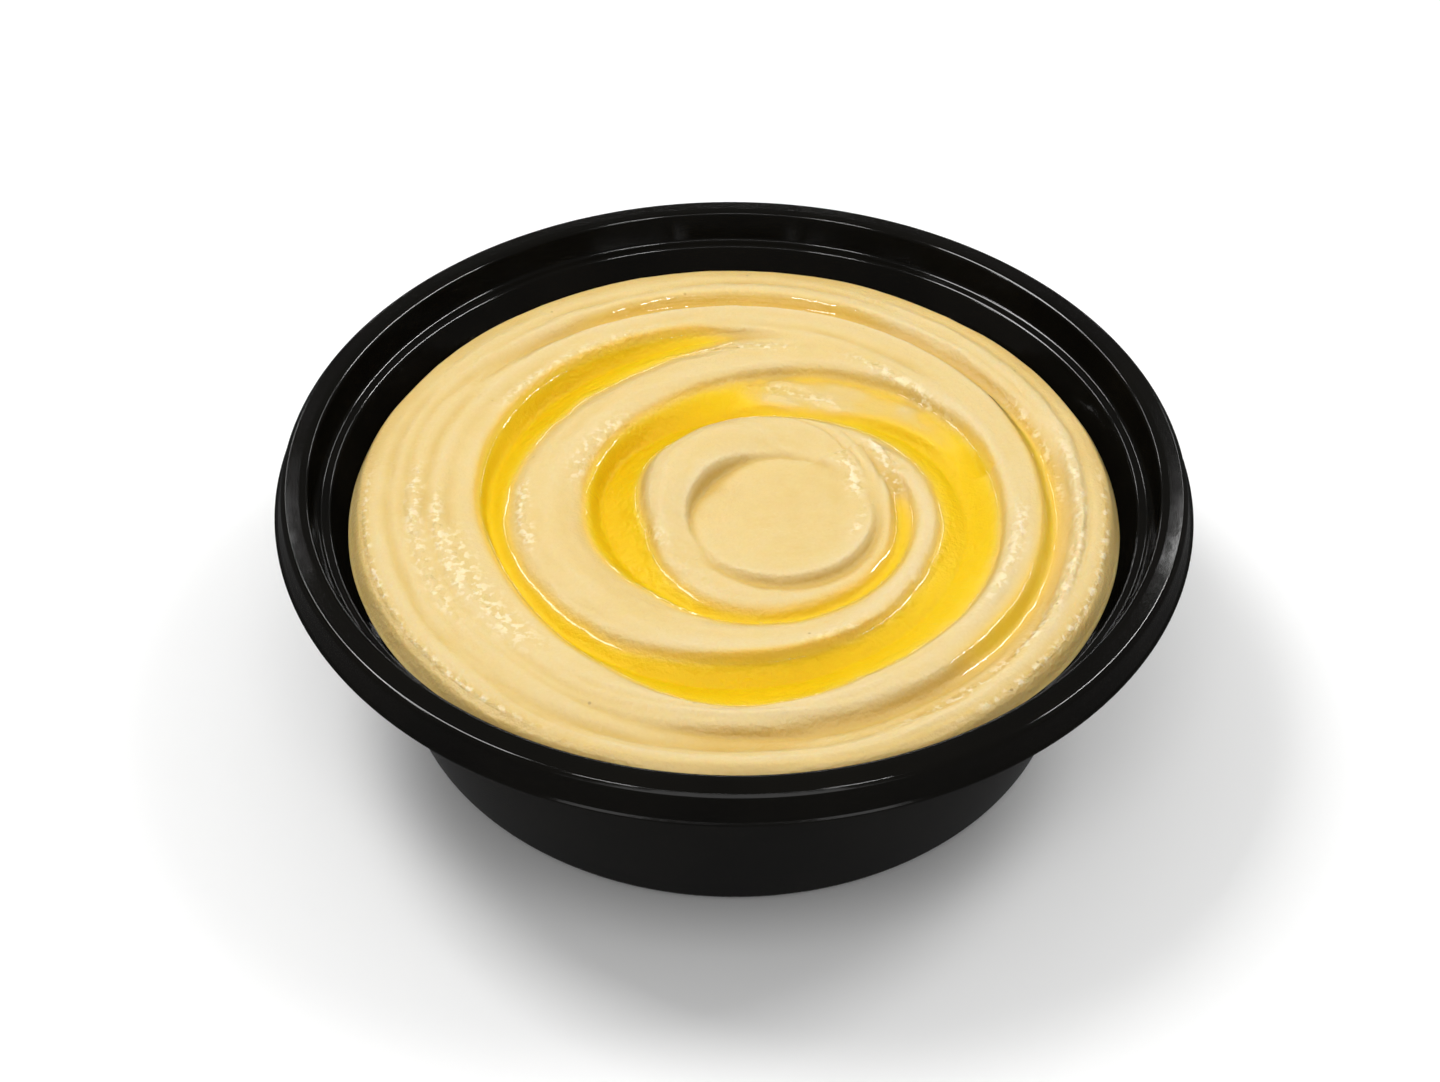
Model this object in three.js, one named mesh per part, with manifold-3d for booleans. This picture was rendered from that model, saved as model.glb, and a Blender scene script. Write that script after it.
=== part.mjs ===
// A round takeaway bowl of hummus with olive oil lying in its swirl.
// Millimetres, +Z up. The origin is the middle of the bowl's flat base, on the table.
// Angles are in degrees, counter-clockwise from +X seen from above. -Y is the near side.
import * as THREE from 'three';
import * as BufferGeometryUtils from 'three/addons/utils/BufferGeometryUtils.js';
import Module from 'manifold-3d';

// Bowl: outer radii and heights of its wall, ledge and rim
const BASE_RADIUS = 69.9;
const BASE_CORNER = 1.4;
const WALL_THICKNESS = 0.8;
const FILL_RADIUS = 78.9;
const FILL_HEIGHT = 41.3;
const LEDGE_RADIUS = 82.05;
const LEDGE_HEIGHT = 47.7;
const LEDGE_WIDTH = 1.95;
const RIM_INNER_RADIUS = 86.0;
const RIM_HEIGHT = 54.2;
const RIM_CORNER_RADIUS = 91.4;
const RIM_CORNER_HEIGHT = 53.3;
const SKIRT_RADIUS = 92.6;
const SKIRT_HEIGHT = 48.7;
const LIP_RADIUS = 93.1;
const LIP_HEIGHT = 47.8;
const BOWL_SEGMENTS = 72;

// Hummus: its grid, the gap to the bowl, and the heights of its crests
const GAP = 0.3;
const HUMMUS_SEGMENTS = 104;
const HUMMUS_RINGS = 32;
const OUTER_CREST_HEIGHT = 45.4;
const EDGE_SHOULDER = [76.8, 44.4];
const LAST_CREST_RADIUS = 71;
const LAST_CREST_SHIFT = 2.5;

// The swirl is one groove that winds inwards for two turns. Each list below holds a value
// every STEP degrees of its winding, the first at START degrees.
const START = 60;
const STEP = 30;
const OIL_OUTER_RADIUS = [
  53, 55.6, 55.8, 54.6, 52.2, 50.5, 53.8, 58.6, 55.9, 55.8, 54.3, 52.3,
  46.2, 38.7, 33, 30.8, 30.2, 31.2, 32.3, 36, 38, 38.2, 36.2, 33.6,
];
const OIL_INNER_RADIUS = [
  51, 50.6, 46, 45, 46.6, 47.3, 48.3, 47.3, 46.5, 44, 42, 37,
  30.3, 26, 22.3, 21.4, 20, 20.5, 26.5, 32.4, 34.8, 34.6, 32.6, 30.9,
];
const FLOOR_RADIUS = [
  52, 54, 52.9, 51.4, 50.2, 49.4, 51.2, 51.6, 50.4, 49, 47.4, 42.2,
  32.2, 29.2, 28.2, 27.6, 27, 27.2, 29.7, 34.4, 36.3, 36.4, 34.2, 32.1,
];
const FLOOR_DEPTH = [
  0.4, 0.9, 2.6, 3, 2.4, 1.6, 1.9, 2.8, 2.2, 2.1, 2.2, 2.2,
  1, 2.6, 3.5, 3.6, 3.3, 2.9, 2, 1.4, 1.4, 1.3, 0.9, 0.3,
];
const CREST_RADIUS = [
  57, 57, 57.8, 56.8, 55.2, 56.6, 59, 62.5, 61, 59.1, 57.4, 55,
  49.5, 41.5, 38, 36.5, 37.9, 40, 43, 45.8, 44.6, 40.8, 38.4, 31,
  23.9, 18.2, 14.9, 13.5, 13.8, 16.3, 22.2, 29.8, 32.6, 32, 31, 28,
];
const CREST_HEIGHT = [
  45.4, 45.1, 44.9, 44.8, 44.8, 45, 45.3, 45.6, 45.8, 46, 46.1, 45.9,
  45.4, 45.2, 45.2, 45.3, 45.4, 45.5, 45.6, 45.6, 45.4, 45, 44.6, 44.7,
  45.7, 47.2, 48.2, 48.4, 47.9, 46.5, 45, 44.2, 43.9, 44.1, 45, 45.7,
];

// Share of the way from the oil's edge to the crest, across and up, where a ridge rounds over
const SHOULDER = [0.45, 0.74];

// At the back right the groove's far side is a shelf under thin oil: where it starts and ends
// and how deep it lies, every 15 degrees of the winding
const SHELF_START = 370;
const SHELF_STEP = 15;
const SHELF_INNER_RADIUS = [50, 46.5, 41.5, 36, 33, 31.8, 31.2];
const SHELF_OUTER_RADIUS = [52.3, 51.2, 49.3, 46.4, 42.9, 38.4, 34.6];
const SHELF_DEPTH = [1.2, 0.3, 0.06, 0, 0, 0.15, 1];
const GROOVE_BEGINS = [66, 102];
const GROOVE_ENDS = [712, 752];
const LAST_CREST_TURN = 1110;

// The shallow groove outside the swirl, deep on the near right and fading on the left
const RING_GROOVE_RADIUS = 65.6;
const RING_GROOVE_SHIFT = 1.2;
const RING_GROOVE_WIDTH = 3.1;
const RING_GROOVE_DEPTH = 2.6;
const RING_GROOVE_MIDDLE = 15;
const RING_GROOVE_FADE = [95, 145];

// The round cap where the spoon was lifted
const CAP_X = 9.8;
const CAP_Y = -6.6;
const CAP_RADIUS = 18.5;
const CAP_HEIGHT = 45.1;
const CAP_TILT = 0.03;
const CAP_TILT_DIRECTION = -35;
const CAP_EDGE = 1.3;
const CREASE_DEPTH = 0.4;
const CREASE_WIDTH = 1.2;
const CREASE_MIDDLE = 150;
const CREASE_FADE = [70, 115];

// Olive oil: the level of the pool in the swirl
const OIL_LEVEL = 43;
const OIL_FLOOR = 36;
const OIL_REACH = 61.5;

function material(colour, roughness) {
  return new THREE.MeshStandardMaterial({ color: colour, roughness, metalness: 0 });
}

function fade([from, to], value) {
  return THREE.MathUtils.smoothstep(value, from, to);
}

// Degrees between two directions, from 0 to 180
function turnBetween(a, b) {
  const turn = Math.abs(a - b) % 360;
  return Math.min(turn, 360 - turn);
}

// Value of a list at a turn of the winding, by a smooth curve through its values
function along(list, turn, start = START, spacing = STEP) {
  const place = THREE.MathUtils.clamp((turn - start) / spacing, 0, list.length - 1);
  const i = Math.min(Math.floor(place), list.length - 2);
  const t = place - i;
  const before = list[Math.max(i - 1, 0)];
  const after = list[Math.min(i + 2, list.length - 1)];
  const startSlope = (list[i + 1] - before) / 2;
  const endSlope = (after - list[i]) / 2;
  const step = list[i + 1] - list[i];
  const square = 3 * step - 2 * startSlope - endSlope;
  const cube = startSlope + endSlope - 2 * step;
  return list[i] + startSlope * t + square * t ** 2 + cube * t ** 3;
}

// The point where a ridge starts to round over, between the oil's edge and the crest
function shoulder(edge, crest) {
  return edge.map((value, i) => value + (crest[i] - value) * SHOULDER[i]);
}

function crestPoint(turn) {
  return [along(CREST_RADIUS, turn), along(CREST_HEIGHT, turn)];
}

// The two points of the shelf, where a turn of the winding has one
function shelfPoints(turn) {
  const end = SHELF_START + SHELF_STEP * (SHELF_DEPTH.length - 1);
  if (turn < SHELF_START || turn > end) return [];
  const at = (list) => along(list, turn, SHELF_START, SHELF_STEP);
  const height = OIL_LEVEL - at(SHELF_DEPTH);
  return [[at(SHELF_INNER_RADIUS), height], [at(SHELF_OUTER_RADIUS), height]];
}

// Points of the groove and its two shoulders at a turn of the winding
function groovePoints(turn) {
  const share = fade(GROOVE_BEGINS, turn) * (1 - fade(GROOVE_ENDS, turn));
  if (share === 0) return [];
  const outerCrest = crestPoint(turn);
  const innerCrest = crestPoint(turn + 360);
  const outerEdge = [along(OIL_OUTER_RADIUS, turn), OIL_LEVEL];
  const innerEdge = [along(OIL_INNER_RADIUS, turn), OIL_LEVEL];
  const points = [
    outerEdge,
    innerEdge,
    [along(FLOOR_RADIUS, turn), OIL_LEVEL - along(FLOOR_DEPTH, turn)],
    shoulder(outerEdge, outerCrest),
    shoulder(innerEdge, innerCrest),
    ...shelfPoints(turn),
  ];
  const top = (outerCrest[1] + innerCrest[1]) / 2;
  return points.map(([radius, height]) => [radius, top + (height - top) * share]);
}

// Points of the hummus surface along one direction, as [radius, height], from the middle out
function sectionPoints(angle) {
  const points = [[0, CAP_HEIGHT]];
  for (let turn = angle; turn <= LAST_CREST_TURN; turn += 360) {
    if (turn < START) continue;
    points.push(crestPoint(turn), ...groovePoints(turn));
  }
  const upward = Math.sin(THREE.MathUtils.degToRad(angle));
  const ring = RING_GROOVE_RADIUS + RING_GROOVE_SHIFT * Math.max(0, -upward);
  const away = turnBetween(angle, RING_GROOVE_MIDDLE);
  const depth = RING_GROOVE_DEPTH * (1 - fade(RING_GROOVE_FADE, away));
  const outer = Math.max(LAST_CREST_RADIUS - LAST_CREST_SHIFT * upward, ring + RING_GROOVE_WIDTH);
  points.push([ring - RING_GROOVE_WIDTH, OUTER_CREST_HEIGHT]);
  points.push([ring, OUTER_CREST_HEIGHT - depth]);
  points.push([outer, OUTER_CREST_HEIGHT]);
  points.push(EDGE_SHOULDER, [FILL_RADIUS, FILL_HEIGHT]);
  points.sort((a, b) => a[0] - b[0]);
  return points.filter((point, i) => i === 0 || point[0] - points[i - 1][0] > 0.2);
}

// Slopes of a curve through the points that never overshoots them
function sectionSlopes(points) {
  const rises = points.slice(1).map(([r, z], i) => (z - points[i][1]) / (r - points[i][0]));
  return points.map((point, i) => {
    if (i === 0 || i === points.length - 1) return i === 0 ? 0 : rises[i - 1];
    const [before, after] = [rises[i - 1], rises[i]];
    return before * after <= 0 ? 0 : (2 * before * after) / (before + after);
  });
}

function sectionHeight(points, slopes, radius) {
  let i = 0;
  while (i < points.length - 2 && points[i + 1][0] < radius) i += 1;
  const width = points[i + 1][0] - points[i][0];
  const t = THREE.MathUtils.clamp((radius - points[i][0]) / width, 0, 1);
  const step = points[i + 1][1] - points[i][1];
  const [start, end] = [slopes[i] * width, slopes[i + 1] * width];
  return points[i][1] + start * t + (3 * step - 2 * start - end) * t ** 2
    + (start + end - 2 * step) * t ** 3;
}

// The cap covers the middle of the swirl, with a crease where the last ridge stands over it
function withCap(x, y, height) {
  const [across, up] = [x - CAP_X, y - CAP_Y];
  const distance = Math.hypot(across, up);
  const outside = fade([CAP_RADIUS - CAP_EDGE, CAP_RADIUS + CAP_EDGE], distance);
  const direction = THREE.MathUtils.radToDeg(Math.atan2(up, across));
  const crease = CREASE_DEPTH * (1 - fade(CREASE_FADE, turnBetween(direction, CREASE_MIDDLE)));
  const dip = Math.exp(-(((distance - CAP_RADIUS) / CREASE_WIDTH) ** 2));
  const tilt = THREE.MathUtils.degToRad(CAP_TILT_DIRECTION);
  const cap = CAP_HEIGHT + CAP_TILT * (across * Math.cos(tilt) + up * Math.sin(tilt));
  return cap + (height - cap) * outside - crease * dip;
}

function bowlGeometry() {
  const t = WALL_THICKNESS;
  const profile = [
    [0, 0],
    [BASE_RADIUS - BASE_CORNER, 0],
    [BASE_RADIUS - BASE_CORNER * 0.3, BASE_CORNER * 0.3],
    [BASE_RADIUS, BASE_CORNER],
    [FILL_RADIUS + t, FILL_HEIGHT - 0.2],
    [LEDGE_RADIUS + t, LEDGE_HEIGHT - t],
    [LEDGE_RADIUS + LEDGE_WIDTH + t, LEDGE_HEIGHT - t + 0.3],
    [RIM_INNER_RADIUS + t, RIM_HEIGHT - 1.0],
    [RIM_CORNER_RADIUS - t, RIM_CORNER_HEIGHT - 0.7],
    [SKIRT_RADIUS - 1.3 * t, SKIRT_HEIGHT + 1.9],
    [SKIRT_RADIUS - 1.2 * t, LIP_HEIGHT],
    [LIP_RADIUS, LIP_HEIGHT],
    [LIP_RADIUS, LIP_HEIGHT + 0.5],
    [SKIRT_RADIUS, SKIRT_HEIGHT],
    [RIM_CORNER_RADIUS + 0.5, RIM_CORNER_HEIGHT - 2.2],
    [RIM_CORNER_RADIUS, RIM_CORNER_HEIGHT],
    [RIM_CORNER_RADIUS - 0.8, RIM_HEIGHT - 0.3],
    [RIM_INNER_RADIUS + 1.2, RIM_HEIGHT],
    [RIM_INNER_RADIUS, RIM_HEIGHT - 0.2],
    [LEDGE_RADIUS + LEDGE_WIDTH, LEDGE_HEIGHT + 0.3],
    [LEDGE_RADIUS, LEDGE_HEIGHT],
    [FILL_RADIUS, FILL_HEIGHT],
    [BASE_RADIUS - t, BASE_CORNER + t],
    [BASE_RADIUS - BASE_CORNER - t, t],
    [0, t],
  ];
  const points = profile.map(([radius, height]) => new THREE.Vector2(radius, height));
  const geometry = new THREE.LatheGeometry(points, BOWL_SEGMENTS);
  geometry.rotateX(Math.PI / 2);
  return geometry;
}

function hummusGeometry() {
  const floor = WALL_THICKNESS + GAP;
  const edge = FILL_RADIUS - GAP;
  const points = [
    new THREE.Vector2(0, floor),
    new THREE.Vector2(BASE_RADIUS - BASE_CORNER - WALL_THICKNESS - GAP, floor),
    new THREE.Vector2(BASE_RADIUS - WALL_THICKNESS - GAP, floor + BASE_CORNER),
  ];
  const firstRing = points.length;
  for (let ring = HUMMUS_RINGS; ring >= 0; ring -= 1) {
    points.push(new THREE.Vector2((edge * ring) / HUMMUS_RINGS, FILL_HEIGHT));
  }
  const geometry = new THREE.LatheGeometry(points, HUMMUS_SEGMENTS);
  geometry.rotateX(Math.PI / 2);
  const position = geometry.getAttribute('position');
  for (let i = 0; i < position.count; i += points.length) {
    const x = position.getX(i + firstRing);
    const y = position.getY(i + firstRing);
    const angle = THREE.MathUtils.euclideanModulo(THREE.MathUtils.radToDeg(Math.atan2(y, x)), 360);
    const section = sectionPoints(angle);
    const slopes = sectionSlopes(section);
    for (let j = i + firstRing; j < i + points.length; j += 1) {
      const radius = Math.hypot(position.getX(j), position.getY(j));
      const height = sectionHeight(section, slopes, radius);
      position.setZ(j, withCap(position.getX(j), position.getY(j), height));
    }
  }
  return geometry;
}

function toSolid(wasm, geometry) {
  const bare = geometry.clone();
  bare.deleteAttribute('normal');
  bare.deleteAttribute('uv');
  const merged = BufferGeometryUtils.mergeVertices(bare);
  const vertProperties = new Float32Array(merged.getAttribute('position').array);
  const triVerts = new Uint32Array(merged.getIndex().array);
  return new wasm.Manifold(new wasm.Mesh({ numProp: 3, vertProperties, triVerts }));
}

function toGeometry(solid) {
  const mesh = solid.getMesh();
  const geometry = new THREE.BufferGeometry();
  geometry.setAttribute('position', new THREE.BufferAttribute(mesh.vertProperties, 3));
  geometry.setIndex(new THREE.BufferAttribute(mesh.triVerts, 1));
  geometry.computeVertexNormals();
  return geometry;
}

// The pool is what a flat disc keeps once the hummus, raised by the gap, is cut from it
function oilGeometry(wasm) {
  const height = OIL_LEVEL - OIL_FLOOR;
  const disc = new THREE.CylinderGeometry(OIL_REACH, OIL_REACH, height, HUMMUS_SEGMENTS);
  disc.rotateX(Math.PI / 2);
  disc.translate(0, 0, OIL_FLOOR + height / 2);
  const raised = hummusGeometry();
  raised.translate(0, 0, GAP);
  const pools = toSolid(wasm, disc).subtract(toSolid(wasm, raised)).decompose();
  pools.sort((a, b) => b.volume() - a.volume());
  return toGeometry(pools[0]);
}

function addPart(group, name, geometry, look) {
  const mesh = new THREE.Mesh(geometry, look);
  mesh.name = name;
  group.add(mesh);
}

const wasm = await Module();
wasm.setup();
const hummusBowl = new THREE.Group();
addPart(hummusBowl, 'bowl', bowlGeometry(), material(0x0c0c0d, 0.25));
addPart(hummusBowl, 'hummus', hummusGeometry(), material(0xe8cd96, 0.55));
addPart(hummusBowl, 'olive_oil', oilGeometry(wasm), material(0xe0a91a, 0.08));

export default hummusBowl;
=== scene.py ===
import math

import bmesh
import bpy
import numpy as np
from bpy.props import FloatProperty, FloatVectorProperty, IntProperty, PointerProperty
from mathutils import Matrix, Vector


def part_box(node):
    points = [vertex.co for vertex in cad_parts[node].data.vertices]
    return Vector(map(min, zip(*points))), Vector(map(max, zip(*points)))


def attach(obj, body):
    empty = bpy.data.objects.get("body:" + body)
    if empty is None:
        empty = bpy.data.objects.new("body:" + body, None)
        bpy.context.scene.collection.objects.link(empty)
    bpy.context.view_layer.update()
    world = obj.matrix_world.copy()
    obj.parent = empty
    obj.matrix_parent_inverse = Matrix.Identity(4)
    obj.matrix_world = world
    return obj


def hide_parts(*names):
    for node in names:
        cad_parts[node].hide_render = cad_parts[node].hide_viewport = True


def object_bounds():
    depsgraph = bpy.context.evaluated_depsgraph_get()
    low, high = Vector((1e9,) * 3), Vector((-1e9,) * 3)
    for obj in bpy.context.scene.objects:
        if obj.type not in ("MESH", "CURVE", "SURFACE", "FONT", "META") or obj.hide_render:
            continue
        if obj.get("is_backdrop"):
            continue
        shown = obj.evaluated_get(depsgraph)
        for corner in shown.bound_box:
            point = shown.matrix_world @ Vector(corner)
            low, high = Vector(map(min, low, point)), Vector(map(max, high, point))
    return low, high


bl_info = {
    "name": "Bowl of hummus",
    "version": (1, 0, 0),
    "blender": (4, 5, 0),
    "location": "3D View > Sidebar > Hummus",
    "description": "Builds a black takeaway bowl of swirled hummus with olive oil",
    "category": "Object",
}

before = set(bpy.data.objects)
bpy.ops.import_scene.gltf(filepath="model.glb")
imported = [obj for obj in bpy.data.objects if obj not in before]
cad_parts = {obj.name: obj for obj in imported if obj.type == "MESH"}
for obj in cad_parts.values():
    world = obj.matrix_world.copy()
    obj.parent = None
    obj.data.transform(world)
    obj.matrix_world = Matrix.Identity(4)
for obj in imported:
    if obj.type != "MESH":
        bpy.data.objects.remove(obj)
CAD_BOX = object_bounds()
MM = 0.001

# Bowl profile, as in the solid: radii and heights in millimetres
BOWL_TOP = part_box("bowl")[1][2] / MM
BASE_RADIUS = 69.9
BASE_CORNER = 1.4
FILL_RADIUS = 78.9
FILL_HEIGHT = 41.3
LEDGE_RADIUS = 82.05
LEDGE_HEIGHT = 47.7
LEDGE_WIDTH = 1.95
RIM_INNER_RADIUS = 86.0
RIM_CORNER_RADIUS = 91.4
RIM_CORNER_HEIGHT = 53.3
SKIRT_RADIUS = 92.6
SKIRT_HEIGHT = 48.7
LIP_RADIUS = 93.1
LIP_HEIGHT = 47.8

# Hummus surface, as in the solid
LAST_CREST_RADIUS = 71
LAST_CREST_SHIFT = 2.5
OIL_LEVEL = 43.0

# The swirl is one groove that winds inwards for two turns. Each list holds a value every
# STEP degrees of its winding, the first at START degrees.
START = 60
STEP = 30
OIL_OUTER_RADIUS = (
    53, 55.6, 55.8, 54.6, 52.2, 50.5, 53.8, 58.6, 55.9, 55.8, 54.3, 52.3,
    46.2, 38.7, 33, 30.8, 30.2, 31.2, 32.3, 36, 38.0, 38.2, 36.2, 33.6,
)
OIL_INNER_RADIUS = (
    51, 50.6, 46, 45, 46.6, 47.3, 48.3, 47.3, 46.5, 44, 42, 37,
    30.3, 26, 22.3, 21.4, 20, 20.5, 26.5, 32.4, 34.8, 34.6, 32.6, 30.9,
)
FLOOR_RADIUS = (
    52, 54.0, 52.9, 51.4, 50.2, 49.4, 51.2, 51.6, 50.4, 49.0, 47.4, 42.2,
    32.2, 29.2, 28.2, 27.6, 27.0, 27.2, 29.7, 34.4, 36.3, 36.4, 34.2, 32.1,
)
FLOOR_DEPTH = (
    0.4, 0.9, 2.6, 3, 2.4, 1.6, 1.9, 2.8, 2.2, 2.1, 2.2, 2.2,
    1.0, 2.6, 3.5, 3.6, 3.3, 2.9, 2.0, 1.4, 1.4, 1.3, 0.9, 0.3,
)
CREST_RADIUS = (
    57, 57, 57.8, 56.8, 55.2, 56.6, 59, 62.5, 61, 59.1, 57.4, 55,
    49.5, 41.5, 38, 36.5, 37.9, 40, 43, 45.8, 44.6, 40.8, 38.4, 31,
    23.9, 18.2, 14.9, 13.5, 13.8, 16.3, 22.2, 29.8, 32.6, 32, 31, 28,
)
CREST_HEIGHT = (
    45.4, 45.1, 44.9, 44.8, 44.8, 45.0, 45.3, 45.6, 45.8, 46.0, 46.1, 45.9,
    45.4, 45.2, 45.2, 45.3, 45.4, 45.5, 45.6, 45.6, 45.4, 45.0, 44.6, 44.7,
    45.7, 47.2, 48.2, 48.4, 47.9, 46.5, 45.0, 44.2, 43.9, 44.1, 45.0, 45.7,
)
OUTER_CREST_HEIGHT = 45.4
# The rounded edge by the wall wanders outwards and down, in waves round the bowl
EDGE_SHOULDER = (76.8, 44.4)
EDGE_LEAN = (0.3, 0.1)
EDGE_WAVES = ((5, 0), (11, 40))
SHOULDER = (0.45, 0.74)
LEAST_GAP = 0.2
CREASE_HALF = 0.7
CREASE_RISE = 0.3
# Round the cap the last ridge keeps nearly its height towards the middle
BROW_TURNS = (790, 900, 960, 1060)
BROW_WIDTH = 7.4
BROW_DROP = (0.3, 0.3, 0.0, -0.15)
# At the back right the groove's far side is a shelf under thin oil: where it starts and ends
# and how deep it lies, at turns of the winding
SHELF_TURNS = (370, 385, 400, 415, 430, 445, 460)
SHELF_FADE = (430, 460)
SHELF_INNER_RADIUS = (50.0, 46.5, 41.5, 36.0, 33.0, 31.8, 31.2)
SHELF_OUTER_RADIUS = (52.3, 51.2, 49.3, 46.4, 42.9, 38.4, 34.6)
SHELF_DEPTH = (1.2, 0.3, 0.06, 0.0, 0.0, 0.15, 1.0)
SHELF_CREASE = (1.6, 0.3)
GROOVE_BEGINS = (66, 102)
GROOVE_ENDS = (712, 752)
LAST_CREST_TURN = 1110

# The shallow groove outside the swirl
RING_GROOVE_RADIUS = 65.6
RING_GROOVE_SHIFT = 1.2
RING_GROOVE_WIDTH = 3.1
RING_GROOVE_DEPTH = 2.6
RING_GROOVE_MIDDLE = 15
RING_GROOVE_FADE = (95, 145)

# The round cap where the spoon was lifted
CAP_X = 9.8
CAP_Y = -6.6
CAP_RADIUS = 18.5
CAP_HEIGHT = 45.1
CAP_TILT = 0.03
CAP_TILT_DIRECTION = -35
CAP_EDGE = 0.9
CAP_FAR_EDGE = 1.1
CAP_STEP_DIRECTION = -72
CAP_STEP_FADE = (45, 95)
CAP_WANDER = 0.3
CREASE_DEPTH = 0.5
CREASE_WIDTH = 0.9
STEP_CREASE = (1.5, 1.2, 0.5)
CREASE_MIDDLE = 138
CREASE_FADE = (55, 100)

# Camera, from the photograph: a 65 mm lens on a 36 mm film, held 42.5 degrees above level
CAMERA_ELEVATION = math.radians(42.48)
CAMERA_DISTANCE = 0.54218
CAMERA_TARGET = Vector((-0.0028, 0.0, 0.03179))
CAMERA_ROLL = math.radians(0.31)
CAMERA_LENS = 65.0


def fade(span, value):
    """Smooth step from 0 to 1 over the span"""
    t = np.clip((value - span[0]) / (span[1] - span[0]), 0.0, 1.0)
    return t * t * (3 - 2 * t)


def turn_between(a, b):
    """Degrees between two directions, from 0 to 180"""
    turn = np.abs(a - b) % 360
    return np.minimum(turn, 360 - turn)


def along(values, turn):
    """Value of a list at a turn of the winding, by a smooth curve through its values"""
    last = len(values) - 1
    place = min(max((turn - START) / STEP, 0), last)
    i = min(int(place), last - 1)
    t = place - i
    before, after = values[max(i - 1, 0)], values[min(i + 2, last)]
    start_slope = (values[i + 1] - before) / 2
    end_slope = (after - values[i]) / 2
    step = values[i + 1] - values[i]
    square = 3 * step - 2 * start_slope - end_slope
    cube = start_slope + end_slope - 2 * step
    return values[i] + start_slope * t + square * t**2 + cube * t**3


def shoulder(edge, crest):
    """The point where a ridge starts to round over, between the oil's edge and the crest"""
    return tuple(a + (b - a) * share for a, b, share in zip(edge, crest, SHOULDER))


def groove_points(turn):
    """Points of the groove and its two shoulders at a turn of the winding"""
    share = fade(GROOVE_BEGINS, turn) * (1 - fade(GROOVE_ENDS, turn))
    if share <= 0:
        return []
    outer_crest = (along(CREST_RADIUS, turn), along(CREST_HEIGHT, turn))
    inner_crest = (along(CREST_RADIUS, turn + 360), along(CREST_HEIGHT, turn + 360))
    outer_edge = (along(OIL_OUTER_RADIUS, turn), OIL_LEVEL)
    inner_edge = (along(OIL_INNER_RADIUS, turn), OIL_LEVEL)
    floor, depth = along(FLOOR_RADIUS, turn), OIL_LEVEL - along(FLOOR_DEPTH, turn)
    points = [
        outer_edge,
        (floor + CREASE_HALF, depth + CREASE_RISE),
        (floor, depth),
        (floor - CREASE_HALF, depth + CREASE_RISE),
        inner_edge,
        shoulder(inner_edge, inner_crest),
        shoulder(outer_edge, outer_crest),
    ]
    if SHELF_TURNS[0] < turn < SHELF_TURNS[-1]:
        inner = np.interp(turn, SHELF_TURNS, SHELF_INNER_RADIUS)
        outer = np.interp(turn, SHELF_TURNS, SHELF_OUTER_RADIUS)
        level = OIL_LEVEL - np.interp(turn, SHELF_TURNS, SHELF_DEPTH)
        across = (inner, outer - SHELF_CREASE[0], outer)
        bank_radii = (floor + CREASE_HALF, outer_edge[0])
        bank = np.interp(across, bank_radii, (depth + CREASE_RISE, OIL_LEVEL))
        flat = level + np.array((0.0, 0.03, -SHELF_CREASE[1]))
        points += list(zip(across, flat + (bank - flat) * fade(SHELF_FADE, turn)))
    top = (outer_crest[1] + inner_crest[1]) / 2
    return [(radius, top + (height - top) * share) for radius, height in points]


def section_points(angle):
    """Points of the hummus surface along one direction, as (radius, height), from the middle out"""
    points = [(0.0, CAP_HEIGHT)]
    turn = angle
    while turn <= LAST_CREST_TURN:
        if turn >= START:
            crest = (along(CREST_RADIUS, turn), along(CREST_HEIGHT, turn))
            points.append(crest)
            points += groove_points(turn)
            if BROW_TURNS[0] < turn < BROW_TURNS[-1]:
                drop = np.interp(turn, BROW_TURNS, BROW_DROP)
                points.append((crest[0] - BROW_WIDTH, crest[1] - drop))
        turn += 360
    upward = math.sin(math.radians(angle))
    ring = RING_GROOVE_RADIUS + RING_GROOVE_SHIFT * max(0, -upward)
    depth = RING_GROOVE_DEPTH * (1 - fade(RING_GROOVE_FADE, turn_between(angle, RING_GROOVE_MIDDLE)))
    outer = max(LAST_CREST_RADIUS - LAST_CREST_SHIFT * upward, ring + RING_GROOVE_WIDTH)
    points.append((ring - RING_GROOVE_WIDTH, OUTER_CREST_HEIGHT))
    points.append((ring, OUTER_CREST_HEIGHT - depth))
    points.append((outer, OUTER_CREST_HEIGHT))
    lean = sum(math.sin(math.radians(angle * waves + start)) for waves, start in EDGE_WAVES)
    points.append((EDGE_SHOULDER[0] + EDGE_LEAN[0] * lean, EDGE_SHOULDER[1] - EDGE_LEAN[1] * lean))
    points.append((FILL_RADIUS, FILL_HEIGHT))
    points.sort()
    kept = [points[0]]
    kept += [p for before, p in zip(points, points[1:]) if p[0] - before[0] > LEAST_GAP]
    return np.array(kept)


def section_heights(points, radii):
    """Heights of a curve through the points that never overshoots them"""
    r, z = points[:, 0], points[:, 1]
    rises = np.diff(z) / np.diff(r)
    slopes = np.zeros(len(r))
    before, after = rises[:-1], rises[1:]
    same_way = before * after > 0
    slopes[1:-1][same_way] = 2 * (before * after)[same_way] / (before + after)[same_way]
    slopes[-1] = rises[-1]
    i = np.clip(np.searchsorted(r, radii, side="left") - 1, 0, len(r) - 2)
    width = r[i + 1] - r[i]
    t = np.clip((radii - r[i]) / width, 0, 1)
    step = z[i + 1] - z[i]
    start, end = slopes[i] * width, slopes[i + 1] * width
    return z[i] + start * t + (3 * step - 2 * start - end) * t**2 + (start + end - 2 * step) * t**3


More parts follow.
